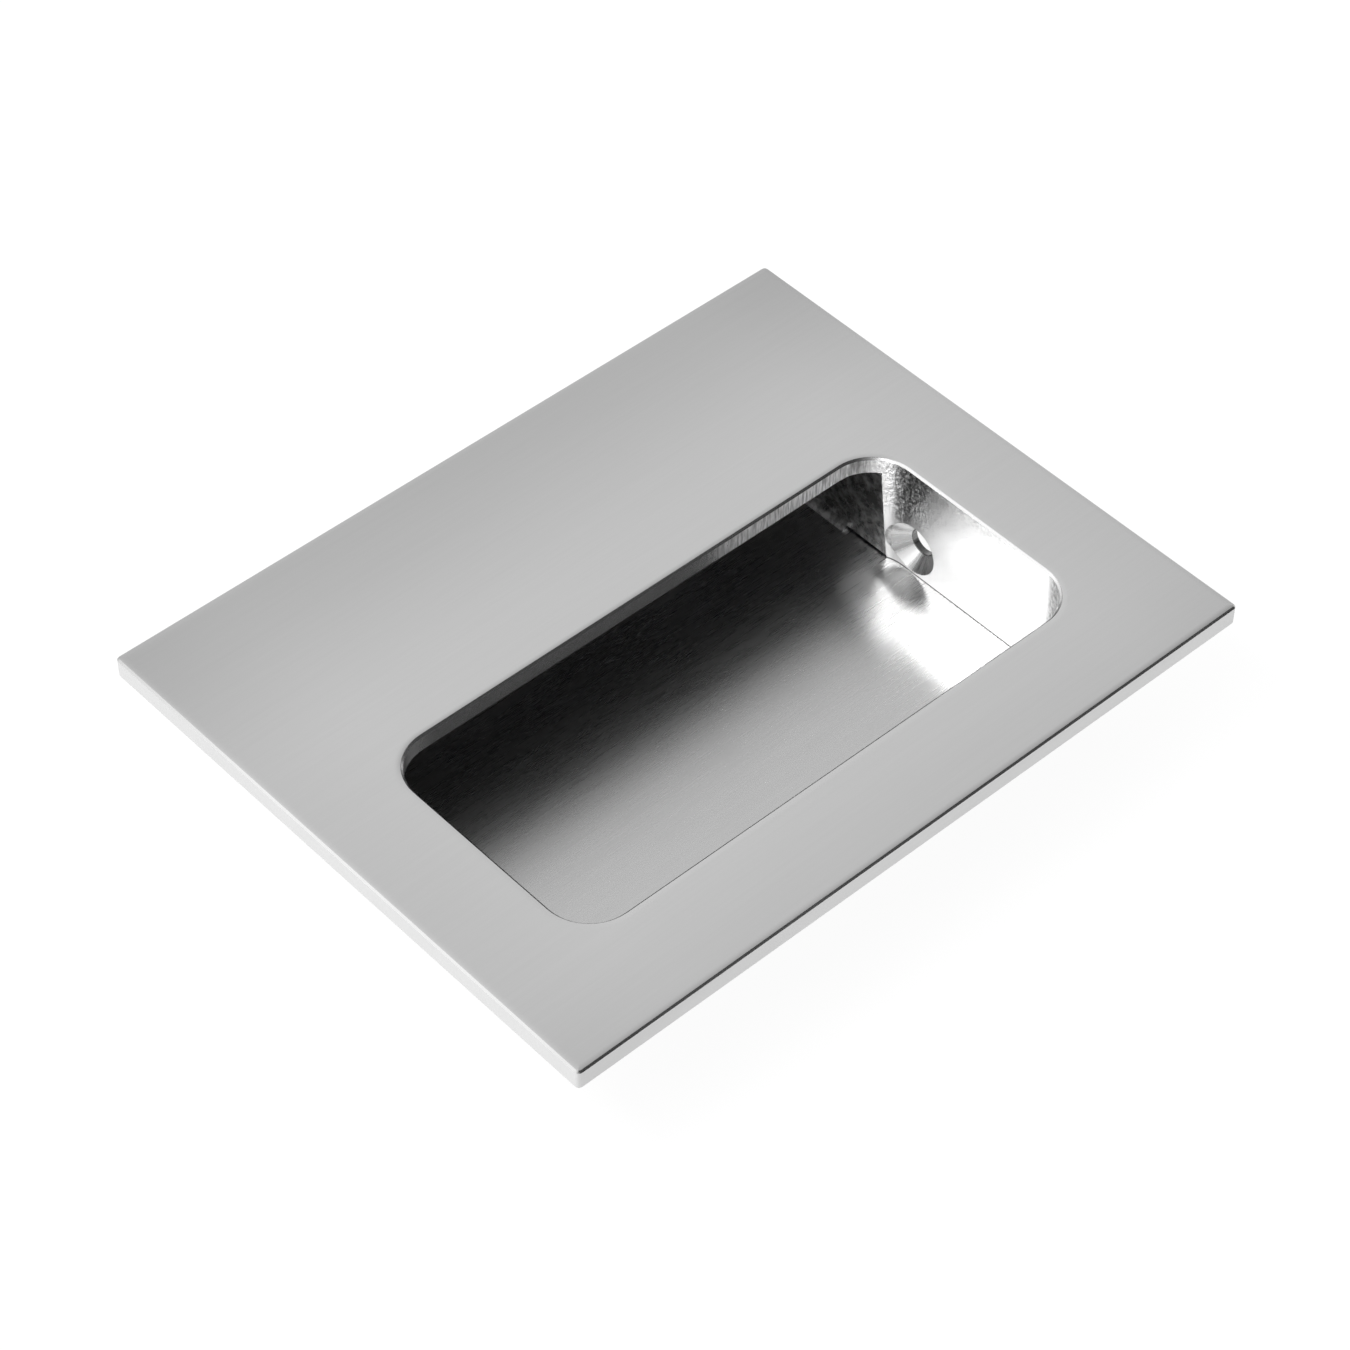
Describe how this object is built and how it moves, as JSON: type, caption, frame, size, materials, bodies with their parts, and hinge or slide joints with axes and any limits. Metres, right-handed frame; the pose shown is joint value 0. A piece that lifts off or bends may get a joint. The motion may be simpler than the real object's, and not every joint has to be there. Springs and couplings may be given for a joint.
{
  "type": "recessed pull handle",
  "caption": "Flush pull handle of satin steel: rectangular face plate with an offset rounded finger opening over a shallow welded box that runs on under the plate as a grip.",
  "frame": {"origin": "middle of the underside of the box, below the middle of the face plate", "axes": "+X along the plate's long side, +Y from the narrow margin beside the opening towards the wide margin, +Z out of the face"},
  "size_m": [0.127, 0.1, 0.0223],
  "materials": {
    "plate": "fine satin, grain along the plate",
    "box_sheet": "brushed along the floor",
    "end_wall": "milled, with mill finish behind the milled corner",
    "weld": "as welded, rippled"
  },
  "bodies": {
    "root": {"face_plate": "plate", "recess_channel": "box_sheet", "end_wall_left": "end_wall", "end_wall_right": "end_wall", "weld_bead": "weld"}
  },
  "joints": []
}
